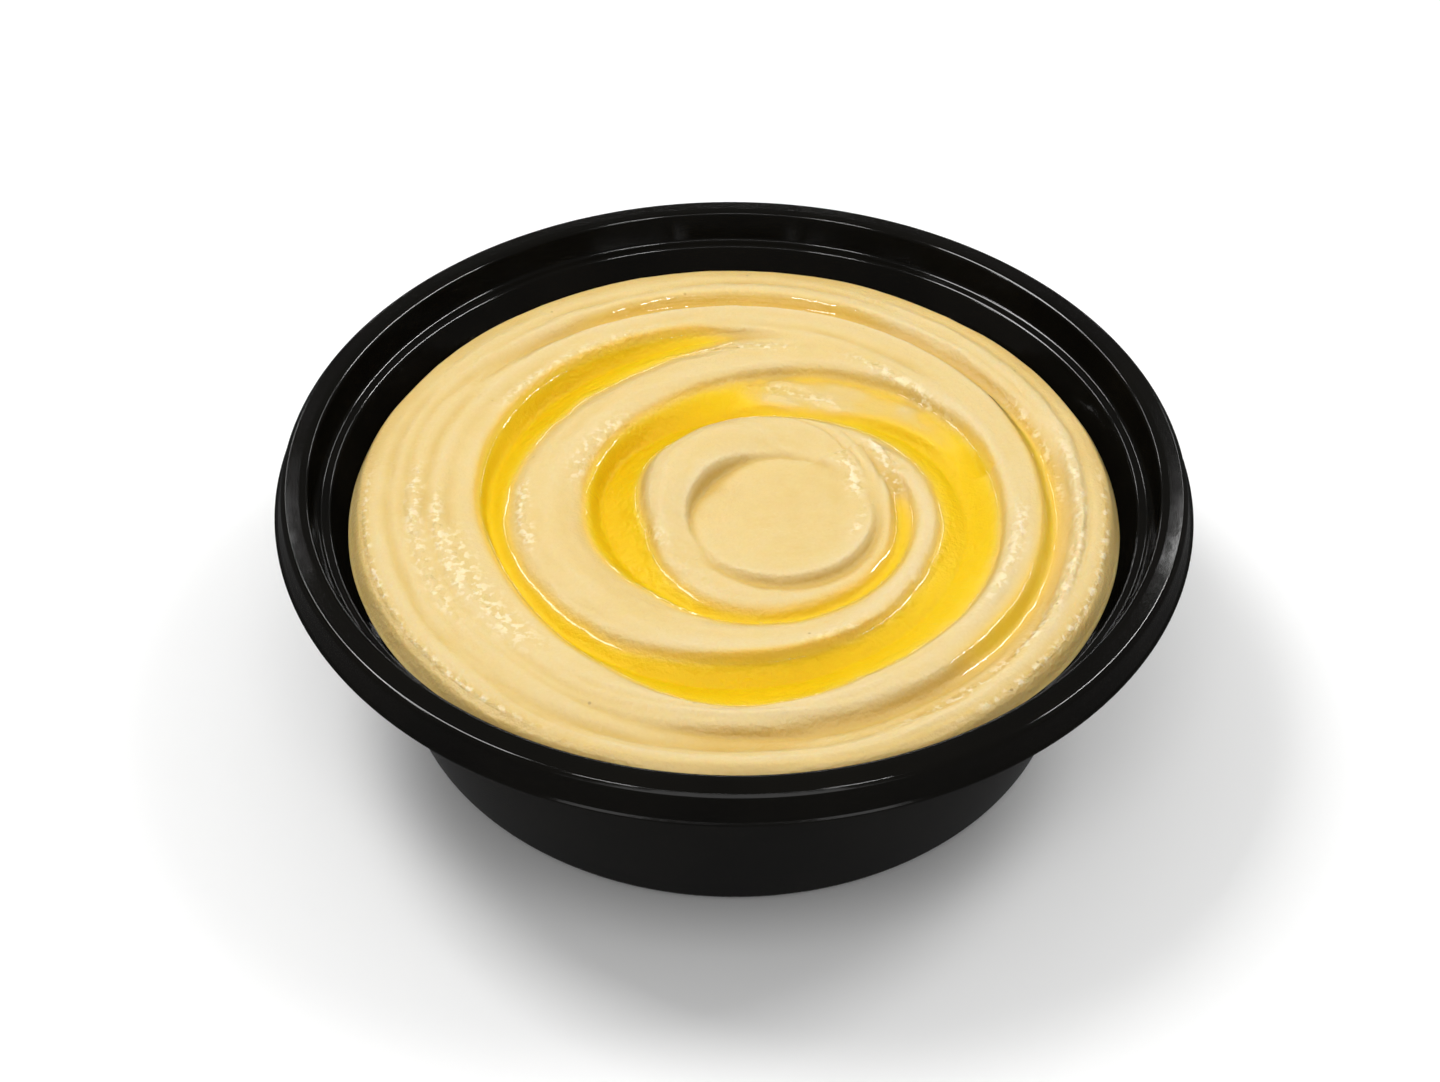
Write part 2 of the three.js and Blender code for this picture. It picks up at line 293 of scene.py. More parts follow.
def with_cap(x, y, height):
    """The cap covers the middle of the swirl, with a crease where the last ridge stands over it"""
    across, up = x - CAP_X, y - CAP_Y
    distance = np.hypot(across, up)
    direction = np.degrees(np.arctan2(up, across))
    under_ridge = 1 - fade(CREASE_FADE, turn_between(direction, CREASE_MIDDLE))
    step = 1 - fade(CAP_STEP_FADE, turn_between(direction, CAP_STEP_DIRECTION))
    edge = CAP_FAR_EDGE + (CAP_EDGE - CAP_FAR_EDGE) * step
    distance = distance + CAP_WANDER * wavy(across / 10 + 40, up / 10 + 40, 71)
    outside = fade((-1, 1), (distance - CAP_RADIUS) / edge)
    tilt = math.radians(CAP_TILT_DIRECTION)
    cap = CAP_HEIGHT + CAP_TILT * (across * math.cos(tilt) + up * math.sin(tilt))
    dip = np.exp(-(((distance - CAP_RADIUS) / CREASE_WIDTH) ** 2))
    beyond, width, depth = STEP_CREASE
    foot = np.exp(-(((distance - CAP_RADIUS - beyond) / width) ** 2))
    return cap + (height - cap) * outside - CREASE_DEPTH * under_ridge * dip - depth * step * foot


def wavy(x, y, seed):
    """Smooth random pattern between -1 and 1, one bump for each unit of x and y"""
    size = 256
    table = np.random.default_rng(seed).uniform(-1, 1, (size, size))
    i, j = np.floor(x).astype(int), np.floor(y).astype(int)
    u, v = x - i, y - j
    u, v = u * u * u * (u * (6 * u - 15) + 10), v * v * v * (v * (6 * v - 15) + 10)
    near = table[i % size, j % size] * (1 - u) + table[(i + 1) % size, j % size] * u
    far = table[i % size, (j + 1) % size] * (1 - u) + table[(i + 1) % size, (j + 1) % size] * u
    return near * (1 - v) + far * v


def ring_wavy(x, y, across, lengthways, seed):
    """Random streaks that run round the bowl: across mm wide and lengthways mm long"""
    radius = np.hypot(x, y)
    angle = np.arctan2(y, x)
    turns = 2 * math.pi * 60 / lengthways
    # two overlapping halves, so that no seam shows where the angle starts again
    front = wavy(radius / across, (angle / (2 * math.pi) + 0.5) * turns, seed)
    back = wavy(radius / across, ((angle / (2 * math.pi)) % 1.0) * turns + 91.3, seed + 1)
    share = fade((0.35, 0.65), np.abs(angle) / math.pi)
    return front * (1 - share) + back * share


def streak(radius, angle, middle, width, direction, spread):
    """A narrow trough at a radius, deepest in one direction and fading within spread degrees"""
    window = 1 - fade((spread * 0.5, spread), turn_between(angle, direction))
    return window * np.exp(-(((radius - middle) / width) ** 2))


# Marks that the spoon left in the paste: radius, width, direction, spread and depth
SPOON_MARKS = (
    (58.5, 1.6, 188, 60, 0.35),
    (63.2, 1.5, 192, 60, 0.50),
    (67.8, 1.3, 185, 55, 0.40),
    (71.2, 1.6, 205, 70, 0.60),
    (70.2, 2.0, 280, 48, 1.0),
    (74.0, 0.9, 275, 50, 0.35),
    (63.4, 1.4, 262, 40, 0.60),
    (69.4, 0.9, 5, 70, 0.45),
    (73.4, 1.0, 15, 60, 0.50),
    (56.2, 1.2, 72, 40, 0.40),
    (71.0, 1.0, 95, 60, 0.40),
    (60.0, 1.4, 110, 50, 0.25),
    (60.8, 0.9, 268, 42, 0.45),
    (66.6, 0.8, 290, 40, 0.40),
    (72.6, 0.7, 262, 44, 0.40),
    (65.4, 0.8, 225, 34, 0.35),
    (27.5, 0.5, 40, 34, 0.45),
    (30.5, 0.5, 25, 24, 0.35),
)


# Bands of small moist flecks along the ridges: radius, half width, direction, spread
FLECKS = (
    (65.5, 1.5, 194, 26), (58.5, 3.0, 210, 24), (61.0, 1.2, 196, 20), (43.5, 1.5, 188, 18),
    (75.2, 0.6, 208, 40), (33.5, 1.8, 152, 26), (45.6, 1.2, 306, 24), (44.0, 0.9, 334, 16),
    (59.0, 1.3, 342, 18), (67.0, 0.9, 14, 18), (70.8, 1.1, 335, 50), (76.0, 0.7, 335, 38),
    (33.5, 1.5, 18, 20), (25.0, 1.6, 15, 22), (27.0, 0.8, 342, 12), (50.0, 1.2, 95, 24),
    (57.0, 1.4, 128, 26), (51.5, 1.3, 40, 26), (37.5, 1.3, 75, 26), (20.5, 1.6, 205, 30),
)


def flecks(x, y):
    """How thick the flecks lie, from 0 to 1"""
    radius, angle = np.hypot(x, y), np.degrees(np.arctan2(y, x))
    total = np.zeros_like(radius)
    for middle, width, direction, spread in FLECKS:
        total = np.maximum(total, streak(radius, angle, middle, width, direction, spread))
    return total


# Soft unevenness of the paste: height, size of a bump and random seed
SOFT_BUMPS = ((0.12, 8.0, 11), (0.08, 3.0, 12))
# Streaks that run round the bowl: width, length and random seed
ROUGH_PATCHES = (7.0, 40.0, 31)
BROAD_STREAKS = (2.2, 22.0, 41)
FINE_STREAKS = (1.0, 5.0, 43)
EDGE_STREAKS = (60.0, 9.0, 61)
# Heights of the streaks: everywhere, then what rough patches and what flecks add
BROAD_HEIGHT = (0.08, 0.13)
FINE_HEIGHT = (0.03, 0.06, 0.07)
# The paste's grain: size and random seed, then its height everywhere and what flecks add
GRAIN = (2.1, 51)
GRAIN_HEIGHT = (0.03, 0.05)
# How far the spoon marks wander sideways, how closely, and the random seed
MARK_WANDER = (1.2, 3, 21)
# How far from the wall the relief fades out, and how far the edge wanders there
RELIEF_ENDS = (3.0, 0.5)
EDGE_WANDER = 0.35


def relief(x, y):
    """What the spoon and the paste leave on top of the swirl, in millimetres"""
    radius = np.hypot(x, y)
    angle = np.degrees(np.arctan2(y, x))
    cap = np.hypot(x - CAP_X, y - CAP_Y)
    off_cap = fade((CAP_RADIUS - 1, CAP_RADIUS + 3), cap)
    total = sum(high * wavy(x / size, y / size, seed) for high, size, seed in SOFT_BUMPS)
    far, waves, seed = MARK_WANDER
    turn = np.radians(angle)
    wander = far * wavy(np.cos(turn) * waves, np.sin(turn) * waves, seed)
    for middle, width, direction, spread, depth in SPOON_MARKS:
        total = total - depth * streak(radius + wander, angle, middle, width, direction, spread)
    rough = fade((0.0, 0.6), ring_wavy(x, y, *ROUGH_PATCHES)) * off_cap
    fleck = flecks(x, y)
    broad = BROAD_HEIGHT[0] + BROAD_HEIGHT[1] * rough
    total = total + broad * ring_wavy(x, y, *BROAD_STREAKS) * off_cap
    fine = FINE_HEIGHT[0] + FINE_HEIGHT[1] * rough + FINE_HEIGHT[2] * fleck
    total = total + fine * ring_wavy(x, y, *FINE_STREAKS)
    size, seed = GRAIN
    return total + (GRAIN_HEIGHT[0] + GRAIN_HEIGHT[1] * fleck) * wavy(x / size, y / size, seed)


def hummus_height(angles, radii):
    """The grid of directions and radii in millimetres, with the plain and the finished height"""
    plain = np.array([section_heights(section_points(a % 360), radii) for a in angles])
    x = radii[None, :] * np.cos(np.radians(angles))[:, None]
    y = radii[None, :] * np.sin(np.radians(angles))[:, None]
    plain = with_cap(x, y, plain)
    edge = 1 - fade([FILL_RADIUS - reach for reach in RELIEF_ENDS], radii)[None, :]
    wander = EDGE_WANDER * ring_wavy(x, y, *EDGE_STREAKS) * (1 - edge)
    return x, y, plain, plain + relief(x, y) * edge + wander


def blurred(values, radii, span):
    """Mean of the values along each radius, over about this span in millimetres"""
    step = radii[1] - radii[0]
    reach = int(round(3 * span / step))
    weights = np.exp(-0.5 * (np.arange(-reach, reach + 1) * step / span) ** 2)
    padded = np.pad(values, ((0, 0), (reach, reach)), mode="edge")
    return np.array([np.convolve(row, weights / weights.sum(), "valid") for row in padded])


def oil_film(height, level, softness):
    """Thickness of oil that lies at a level and climbs a little where it meets the hummus"""
    return softness * np.logaddexp(0.0, (level - height) / softness)


def mesh_from(name, vertices, faces, smooth=True):
    mesh = bpy.data.meshes.new(name)
    mesh.from_pydata(np.asarray(vertices).tolist(), [], faces)
    mesh.update()
    mesh.shade_smooth() if smooth else mesh.shade_flat()
    return mesh


def place(mesh, name):
    piece = bpy.data.objects.new(name, mesh)
    bpy.context.scene.collection.objects.link(piece)
    return piece


def add_values(mesh, name, values):
    attribute = mesh.attributes.new(name, "FLOAT", "POINT")
    attribute.data.foreach_set("value", np.asarray(values, dtype=np.float32).ravel())


def add_vectors(mesh, name, vectors):
    attribute = mesh.attributes.new(name, "FLOAT_VECTOR", "POINT")
    attribute.data.foreach_set("vector", np.asarray(vectors, dtype=np.float32).ravel())


class Shader:
    """A node tree with short calls to add nodes and link them"""

    def __init__(self, tree):
        self.tree = tree

    def node(self, kind, **settings):
        node = self.tree.nodes.new(kind)
        for key, value in settings.items():
            setattr(node, key, value)
        return node

    def link(self, source, target):
        self.tree.links.new(source, target)

    def fed(self, kind, inputs, **settings):
        """A node with its inputs, each a value or the socket that feeds it"""
        node = self.node(kind, **settings)
        for name, value in inputs.items():
            if isinstance(value, bpy.types.NodeSocket):
                self.link(value, node.inputs[name])
            else:
                node.inputs[name].default_value = value
        return node

    def math(self, operation, a, b=None):
        node = self.node("ShaderNodeMath", operation=operation)
        for socket, value in zip(node.inputs, (a, b)):
            if value is None:
                continue
            if isinstance(value, (int, float)):
                socket.default_value = value
            else:
                self.link(value, socket)
        return node.outputs[0]

    def mix_colour(self, share, a, b, blend="MIX"):
        node = self.node("ShaderNodeMix", data_type="RGBA", blend_type=blend)
        for name, value in (("Factor_Float", share), ("A_Color", a), ("B_Color", b)):
            socket = next(s for s in node.inputs if s.identifier == name)
            if isinstance(value, (int, float)):
                socket.default_value = value
            elif isinstance(value, (tuple, list)):
                socket.default_value = (*value, 1.0)[:4]
            else:
                self.link(value, socket)
        return next(s for s in node.outputs if s.identifier == "Result_Color")

    def ramp(self, value, stops):
        node = self.node("ShaderNodeValToRGB")
        ramp = node.color_ramp
        while len(ramp.elements) < len(stops):
            ramp.elements.new(1.0)
        for element, (position, colour) in zip(ramp.elements, stops):
            element.position = position
            element.color = (*colour, 1.0)
        self.link(value, node.inputs["Fac"])
        return node.outputs["Color"]

    def range(self, value, low, high, to_low=0.0, to_high=1.0):
        inputs = {"Value": value, "From Min": low, "From Max": high}
        inputs.update({"To Min": to_low, "To Max": to_high})
        return self.fed("ShaderNodeMapRange", inputs, clamp=True).outputs["Result"]

    def noise(self, vector, scale, detail=3.0, roughness=0.5):
        inputs = {"Vector": vector, "Scale": scale, "Detail": detail, "Roughness": roughness}
        return self.fed("ShaderNodeTexNoise", inputs).outputs["Fac"]

    def bump(self, height, strength, distance, normal=None):
        inputs = {"Strength": strength, "Distance": distance, "Height": height}
        if normal is not None:
            inputs["Normal"] = normal
        return self.fed("ShaderNodeBump", inputs).outputs["Normal"]


def uneven_gloss_group():
    """Shared effect: roughness that wanders between two values over patches of one size"""
    found = bpy.data.node_groups.get("Uneven gloss")
    if found:
        return found
    group = bpy.data.node_groups.new("Uneven gloss", "ShaderNodeTree")
    for name, kind, default in (
        ("Vector", "NodeSocketVector", None),
        ("Patches per metre", "NodeSocketFloat", 60.0),
        ("Smooth", "NodeSocketFloat", 0.2),
        ("Dull", "NodeSocketFloat", 0.4),
    ):
        socket = group.interface.new_socket(name, in_out="INPUT", socket_type=kind)
        if default is not None:
            socket.default_value = default
    group.interface.new_socket("Roughness", in_out="OUTPUT", socket_type="NodeSocketFloat")
    group.interface.new_socket("Mask", in_out="OUTPUT", socket_type="NodeSocketFloat")
    shader = Shader(group)
    given = shader.node("NodeGroupInput").outputs
    inputs = {"Vector": given["Vector"], "Scale": given["Patches per metre"], "Detail": 4.0}
    noise = shader.fed("ShaderNodeTexNoise", inputs)
    mask = shader.range(noise.outputs["Fac"], 0.35, 0.65)
    inputs = {"Value": mask, "To Min": given["Smooth"], "To Max": given["Dull"]}
    spread = shader.fed("ShaderNodeMapRange", inputs)
    shader.fed("NodeGroupOutput", {"Roughness": spread.outputs["Result"], "Mask": mask})
    return group


def new_material(name):
    material = bpy.data.materials.new(name)
    material.use_nodes = True
    material.node_tree.nodes.clear()
    shader = Shader(material.node_tree)
    output = shader.node("ShaderNodeOutputMaterial")
    return material, shader, output


def add_gloss(shader, vector, patches, smooth, dull):
    inputs = {"Vector": vector, "Patches per metre": patches, "Smooth": smooth, "Dull": dull}
    return shader.fed("ShaderNodeGroup", inputs, node_tree=uneven_gloss_group())


def bowl_material(settings):
    """Glossy black moulded plastic with a faint ripple and a few duller patches"""
    material, shader, output = new_material("Black moulded plastic")
    main = shader.node("ShaderNodeBsdfPrincipled")
    coordinates = shader.node("ShaderNodeTexCoord").outputs["Object"]
    gloss = add_gloss(shader, coordinates, 45.0, settings.gloss_low, settings.gloss_high)
    shader.link(gloss.outputs["Roughness"], main.inputs["Roughness"])
    darker = tuple(0.6 * c for c in settings.colour)
    tone = shader.ramp(gloss.outputs["Mask"], ((0.0, tuple(settings.colour)), (1.0, darker)))
    shader.link(tone, main.inputs["Base Color"])
    ripple = shader.noise(coordinates, 160.0, detail=2.0)
    grain = shader.noise(coordinates, 2600.0, detail=1.0)
    first = shader.bump(ripple, 0.05, 0.0005)
    shader.link(shader.bump(grain, 0.03, 0.0001, first), main.inputs["Normal"])
    main.inputs["IOR"].default_value = 1.49
    main.inputs["Specular IOR Level"].default_value = settings.shine
    shader.link(main.outputs["BSDF"], output.inputs["Surface"])
    return material


def hummus_material(settings, oil):
    """Smooth moist chickpea paste, yellow where oil covers or soaks it, with painted shade in hollows
    and on steep banks, painted light on crests, paste painted brighter under oil and painted glints on
    moist flecks
    """
    material, shader, output = new_material("Chickpea paste")
    main = shader.node("ShaderNodeBsdfPrincipled")
    coordinates = shader.node("ShaderNodeTexCoord").outputs["Object"]
    depth = shader.node("ShaderNodeAttribute", attribute_name="oil_and_bank_shade_depth").outputs["Fac"]
    ring = shader.node("ShaderNodeAttribute", attribute_name="ring").outputs["Vector"]
    painted_light_and_shade = shader.node("ShaderNodeAttribute", attribute_name="painted_light_and_shade").outputs["Fac"]
    moist = shader.node("ShaderNodeAttribute", attribute_name="moist").outputs["Fac"]
    # Painted shade and light: the paste is darker in hollows and on steep banks and lighter on crests,
    # mixed with random patches of the paste's own tone
    patches = shader.math("SUBTRACT", shader.noise(coordinates, 55.0), 0.5)
    tone = shader.math("ADD", painted_light_and_shade, shader.math("MULTIPLY", patches, 0.9))
    colour = shader.mix_colour(
        shader.range(tone, 0.0, -0.8), tuple(settings.colour), tuple(settings.lit_crest_and_patch_colour)
    )
    colour = shader.mix_colour(shader.range(tone, 0.0, 0.9), colour, tuple(settings.shaded_hollow_and_patch_colour))
    meal = shader.noise(coordinates, 1500.0, detail=2.0)
    colour = shader.mix_colour(
        shader.range(meal, 0.25, 0.75, 0.0, 0.18), colour, tuple(settings.skin_colour)
    )
    # Painted glints: lighter spots on the moist flecks stand in for small highlights
    pale = shader.range(shader.noise(coordinates, 560.0), 0.5, 0.6, 0.0, 0.75)
    bits = shader.math("MULTIPLY", moist, pale)
    colour = shader.mix_colour(bits, colour, tuple(settings.painted_glint_colour))
    speck = shader.node("ShaderNodeTexVoronoi")
    shader.link(coordinates, speck.inputs["Vector"])
    speck.inputs["Scale"].default_value = 120.0
    dots = shader.range(speck.outputs["Distance"], 0.03, 0.05, 0.6, 0.0)
    colour = shader.mix_colour(dots, colour, tuple(settings.speck_colour))
    # Paste under oil is painted brighter, a painted light that makes up for light lost in the groove,
    # and each millimetre of oil lets a share of each colour through
    colour = shader.mix_colour(shader.range(depth, 0.0, 0.35), colour, tuple(oil.soaked_colour))
    colour = shader.mix_colour(shader.range(depth, 0.25, 1.0), colour, tuple(oil.wet_brightened_colour))
    passed = shader.node("ShaderNodeCombineColor")
    for name, share in zip(("Red", "Green", "Blue"), oil.passes):
        shader.link(shader.math("POWER", share, depth), passed.inputs[name])
    colour = shader.mix_colour(1.0, colour, passed.outputs["Color"], "MULTIPLY")
    shader.link(colour, main.inputs["Base Color"])
    gloss = add_gloss(shader, ring, 1.0, settings.gloss_low, settings.gloss_high)
    wet = shader.math("MULTIPLY", moist, shader.range(shader.noise(coordinates, 420.0), 0.45, 0.6))
    rough = shader.math("MULTIPLY", gloss.outputs["Roughness"], shader.range(wet, 0.0, 1.0, 1.0, 0.5))
    shader.link(rough, main.inputs["Roughness"])
    streaks = shader.noise(ring, 6.0, detail=3.0, roughness=0.6)
    grain = shader.noise(coordinates, 900.0, detail=3.0, roughness=0.55)
    blobs = shader.math("MULTIPLY", shader.noise(coordinates, 620.0, detail=2.0), moist)
    first = shader.bump(streaks, 0.25, 0.0004)
    second = shader.bump(blobs, 0.7, 0.0008, first)
    shader.link(shader.bump(grain, 0.7, 0.0004, second), main.inputs["Normal"])
    for name, value in (
        ("Subsurface Weight", settings.softness),
        ("Subsurface Radius", (1.0, 0.6, 0.25)),
        ("Subsurface Scale", settings.soft_depth),
        ("IOR", 1.42),
        ("Specular IOR Level", 0.3),
    ):
        main.inputs[name].default_value = value
    shader.link(main.outputs["BSDF"], output.inputs["Surface"])
    return material


def oil_material(settings):
    """A clear wet surface: what lies under it shows through, and it mirrors the lights"""
    material, shader, output = new_material("Clear olive oil")
    thick = shader.node("ShaderNodeAttribute", attribute_name="thick").outputs["Fac"]
    share = shader.range(thick, 0.0, 0.9)
    tint = shader.mix_colour(share, (1.0, 1.0, 1.0), tuple(settings.clear_colour))
    clear = shader.fed("ShaderNodeBsdfTransparent", {"Color": tint}).outputs["BSDF"]
    coordinates = shader.node("ShaderNodeTexCoord").outputs["Object"]
    normal = shader.bump(shader.noise(coordinates, 60.0, detail=1.0), 0.05, 0.0006)
    inputs = {"Roughness": 0.04, "Normal": normal}
    mirror = shader.fed("ShaderNodeBsdfGlossy", inputs).outputs["BSDF"]
    fresnel = shader.fed("ShaderNodeFresnel", {"IOR": 1.47, "Normal": normal}).outputs["Fac"]
    # only the outer side mirrors, so that light passes out of the oil freely
    inside = shader.node("ShaderNodeNewGeometry").outputs["Backfacing"]
    share = shader.math("MULTIPLY", fresnel, shader.math("SUBTRACT", 1.0, inside))
    mix = shader.fed("ShaderNodeMixShader", {"Fac": share, 1: clear, 2: mirror})
    shader.link(mix.outputs["Shader"], output.inputs["Surface"])
    return material


def floor_material(colour):
    material, shader, output = new_material("Pale floor")
    coordinates = shader.node("ShaderNodeTexCoord").outputs["Object"]
    darker = tuple(0.985 * c for c in colour)
    tone = shader.ramp(shader.noise(coordinates, 3.0), ((0.0, tuple(colour)), (1.0, darker)))
    inputs = {"Base Color": tone, "Roughness": 0.9, "Specular IOR Level": 0.1}
    main = shader.fed("ShaderNodeBsdfPrincipled", inputs)
    shader.link(main.outputs["BSDF"], output.inputs["Surface"])
    return material


def length(name, description, default):
    """A setting that is a length, with its default in millimetres"""
    return FloatProperty(name=name, description=description, default=default * MM, unit="LENGTH")


def paint(name, description, default):
    """A setting that is a colour"""
    return FloatVectorProperty(name=name, description=description, subtype="COLOR", default=default)


class BowlSettings(bpy.types.PropertyGroup):
    wall: length("Wall", "Thickness of the moulded wall", 0.8)
    fillet: length("Corner radius", "Rounding of the rim's corners", 0.9)
    segments: IntProperty(name="Segments", description="Steps round the bowl", default=256, min=32)
    colour: paint("Colour", "Plastic colour", (0.0045, 0.004, 0.003))
    gloss_low: FloatProperty(name="Gloss", description="Roughness where shiniest", default=0.06)
    gloss_high: FloatProperty(name="Dullness", description="Roughness where dullest", default=0.11)
    shine: FloatProperty(name="Shine", description="Strength of the mirror shine", default=0.5)


class HummusSettings(bpy.types.PropertyGroup):
    steps_round: IntProperty(name="Steps round", description="Steps round the bowl", default=456)
    steps_out: IntProperty(name="Steps out", description="Steps from middle to edge", default=196)
    colour: paint("Colour", "Paste colour", (0.735, 0.555, 0.235))
    # Painted light and shade: the ridge colour paints light on crests and the colour for hollows
    # paints shade in hollows and on steep banks; both also tint random patches
    lit_crest_and_patch_colour: paint("Crest colour", "Paste colour on ridges", (0.745, 0.60, 0.32))
    shaded_hollow_and_patch_colour: paint("Hollow colour", "Paste colour in hollows", (0.64, 0.42, 0.105))
    skin_colour: paint("Skin colour", "Finest bits of chickpea skin", (0.64, 0.43, 0.15))
    # The fleck colour is a painted glint on the moist flecks
    painted_glint_colour: paint("Fleck colour", "Pale moist flecks", (0.89, 0.79, 0.53))
    speck_colour: paint("Speck colour", "The few brown specks", (0.38, 0.24, 0.08))
    gloss_low: FloatProperty(name="Gloss", description="Roughness where moist", default=0.30)
    gloss_high: FloatProperty(name="Dullness", description="Roughness where drier", default=0.50)
    softness: FloatProperty(name="Softness", description="Share of light that enters", default=0.5)
    soft_depth: length("Soft depth", "How far light travels inside", 1.9)


class OilSettings(bpy.types.PropertyGroup):
    level: length("Level", "Height of the pool", OIL_LEVEL)
    edge: length("Edge", "How far the oil climbs where it meets hummus", 0.28)
    soaked_colour: paint("Soaked paste", "Paste where oil has only just soaked in", (0.80, 0.53, 0.15))
    # The wet paste colour is painted brighter than the dry paste: a painted light
    wet_brightened_colour: paint("Wet paste", "Paste colour under oil", (0.885, 0.635, 0.19))
    clear_colour: paint("Clear oil", "Tint of the oil where it lies deep", (0.99, 0.97, 0.60))
    passes: paint("Passes", "Share of each colour that a millimetre lets through", (0.965, 0.93, 0.25))


class StageSettings(bpy.types.PropertyGroup):
    floor_colour: paint("Floor", "Floor colour", (0.96, 0.96, 0.955))
    key: FloatProperty(name="Key", description="Power of the main soft box", default=5.05)
    world: FloatProperty(name="Room", description="Strength of the light all round", default=0.55)


def bowl_profile(settings):
    """Corners of half the bowl's section in millimetres, each with its rounding's radius"""
    t = settings.wall / MM
    soft = settings.fillet / MM
    corners = (
        (0, 0, 0),
        (BASE_RADIUS - BASE_CORNER * 0.4, 0, 1.6),
        (BASE_RADIUS + 0.35, BASE_CORNER, 1.6),
        (FILL_RADIUS + t, FILL_HEIGHT - 0.2, 20),
        (LEDGE_RADIUS + t, LEDGE_HEIGHT - t, 0.3),
        (LEDGE_RADIUS + LEDGE_WIDTH + t, LEDGE_HEIGHT - t + 0.3, 0.3),
        (RIM_INNER_RADIUS + t, BOWL_TOP - 1.0, 0.3),
        (RIM_CORNER_RADIUS - t, RIM_CORNER_HEIGHT - 0.7, 0.5),
        (SKIRT_RADIUS - 1.3 * t, SKIRT_HEIGHT + 1.9, 0.5),
        (SKIRT_RADIUS - 1.2 * t, LIP_HEIGHT, 0.15),
        (LIP_RADIUS, LIP_HEIGHT, 0.2),
        (LIP_RADIUS, LIP_HEIGHT + 0.5, 0.2),
        (SKIRT_RADIUS, SKIRT_HEIGHT, 0.3),
        (RIM_CORNER_RADIUS + 0.5, RIM_CORNER_HEIGHT - 2.2, 0.6),
        (RIM_CORNER_RADIUS, RIM_CORNER_HEIGHT, soft),
        (RIM_CORNER_RADIUS - 0.9, BOWL_TOP - 0.2, 0.6),
        (RIM_INNER_RADIUS + 1.6, BOWL_TOP, 2.0),
        (RIM_INNER_RADIUS, BOWL_TOP - 0.1, soft),
        (LEDGE_RADIUS + LEDGE_WIDTH, LEDGE_HEIGHT + 0.3, soft),
        (LEDGE_RADIUS, LEDGE_HEIGHT, soft),
        (FILL_RADIUS, FILL_HEIGHT, 20),
        (BASE_RADIUS - t, BASE_CORNER + t, 2.0),
        (BASE_RADIUS - BASE_CORNER - t, t, 1.0),
        (0, t, 0),
    )
    return corners


def bowl_tree():
    """Geometry Nodes: rounds the corners of a half section and turns it about the upright axis"""
    tree = bpy.data.node_groups.new("Turned bowl", "GeometryNodeTree")
    tree.interface.new_socket("Geometry", in_out="INPUT", socket_type="NodeSocketGeometry")
    segments = tree.interface.new_socket("Segments", in_out="INPUT", socket_type="NodeSocketInt")
    segments.default_value = 256
    steps = tree.interface.new_socket("Corner steps", in_out="INPUT", socket_type="NodeSocketInt")
    steps.default_value = 5
    tree.interface.new_socket("Material", in_out="INPUT", socket_type="NodeSocketMaterial")
    tree.interface.new_socket("Geometry", in_out="OUTPUT", socket_type="NodeSocketGeometry")
    nodes = Shader(tree)
    given = nodes.node("NodeGroupInput").outputs
    position = nodes.node("GeometryNodeInputPosition").outputs["Position"]

    # the half section with its corners rounded
    curve = nodes.fed("GeometryNodeMeshToCurve", {"Mesh": given["Geometry"]}).outputs["Curve"]
    corner = nodes.fed("GeometryNodeInputNamedAttribute", {"Name": "corner"}, data_type="FLOAT")
    rounding = {
        "Curve": curve,
        "Count": given["Corner steps"],
        "Radius": corner.outputs["Attribute"],
        "Limit Radius": True,
    }
    fillet = nodes.fed("GeometryNodeFilletCurve", rounding, mode="POLY")
    line = nodes.fed("GeometryNodeCurveToMesh", {"Curve": fillet.outputs["Curve"]}).outputs["Mesh"]
    size = nodes.fed("GeometryNodeAttributeDomainSize", {"Geometry": line}, component="MESH")
    count = size.outputs["Point Count"]

    # a flat grid, with one row for each point of the section and one column for each direction
    around = nodes.math("ADD", given["Segments"], 1)
    grid = nodes.fed("GeometryNodeMeshGrid", {"Vertices X": around, "Vertices Y": count})
    on_grid = nodes.fed("ShaderNodeSeparateXYZ", {"Vector": position}).outputs
    last = nodes.math("SUBTRACT", count, 1)
    row = nodes.math("MULTIPLY", nodes.math("ADD", on_grid["Y"], 0.5), last)
    sampled = {"Geometry": line, "Value": position, "Index": nodes.math("ROUND", row)}
    point = nodes.fed("GeometryNodeSampleIndex", sampled, data_type="FLOAT_VECTOR", domain="POINT")
    outline = nodes.fed("ShaderNodeSeparateXYZ", {"Vector": point.outputs["Value"]}).outputs
    angle = nodes.math("MULTIPLY", nodes.math("ADD", on_grid["X"], 0.5), 2 * math.pi)
    turned = {
        "X": nodes.math("MULTIPLY", outline["X"], nodes.math("COSINE", angle)),
        "Y": nodes.math("MULTIPLY", outline["X"], nodes.math("SINE", angle)),
        "Z": outline["Z"],
    }
    target = nodes.fed("ShaderNodeCombineXYZ", turned).outputs["Vector"]

    body = grid.outputs["Mesh"]
    for kind, inputs in (
        ("GeometryNodeSetPosition", {"Position": target}),
        ("GeometryNodeMergeByDistance", {"Distance": 1e-6}),
        ("GeometryNodeSetShadeSmooth", {}),
        ("GeometryNodeRealizeInstances", {}),
        ("GeometryNodeSetMaterial", {"Material": given["Material"]}),
    ):
        body = nodes.fed(kind, {"Geometry": body, **inputs}).outputs["Geometry"]
    nodes.fed("NodeGroupOutput", {"Geometry": body})
    return tree


def set_input(modifier, name, value):
    for item in modifier.node_group.interface.items_tree:
        if item.item_type == "SOCKET" and item.in_out == "INPUT" and item.name == name:
            modifier[item.identifier] = value
            return
    raise RuntimeError(f"the tree has no input named {name}")


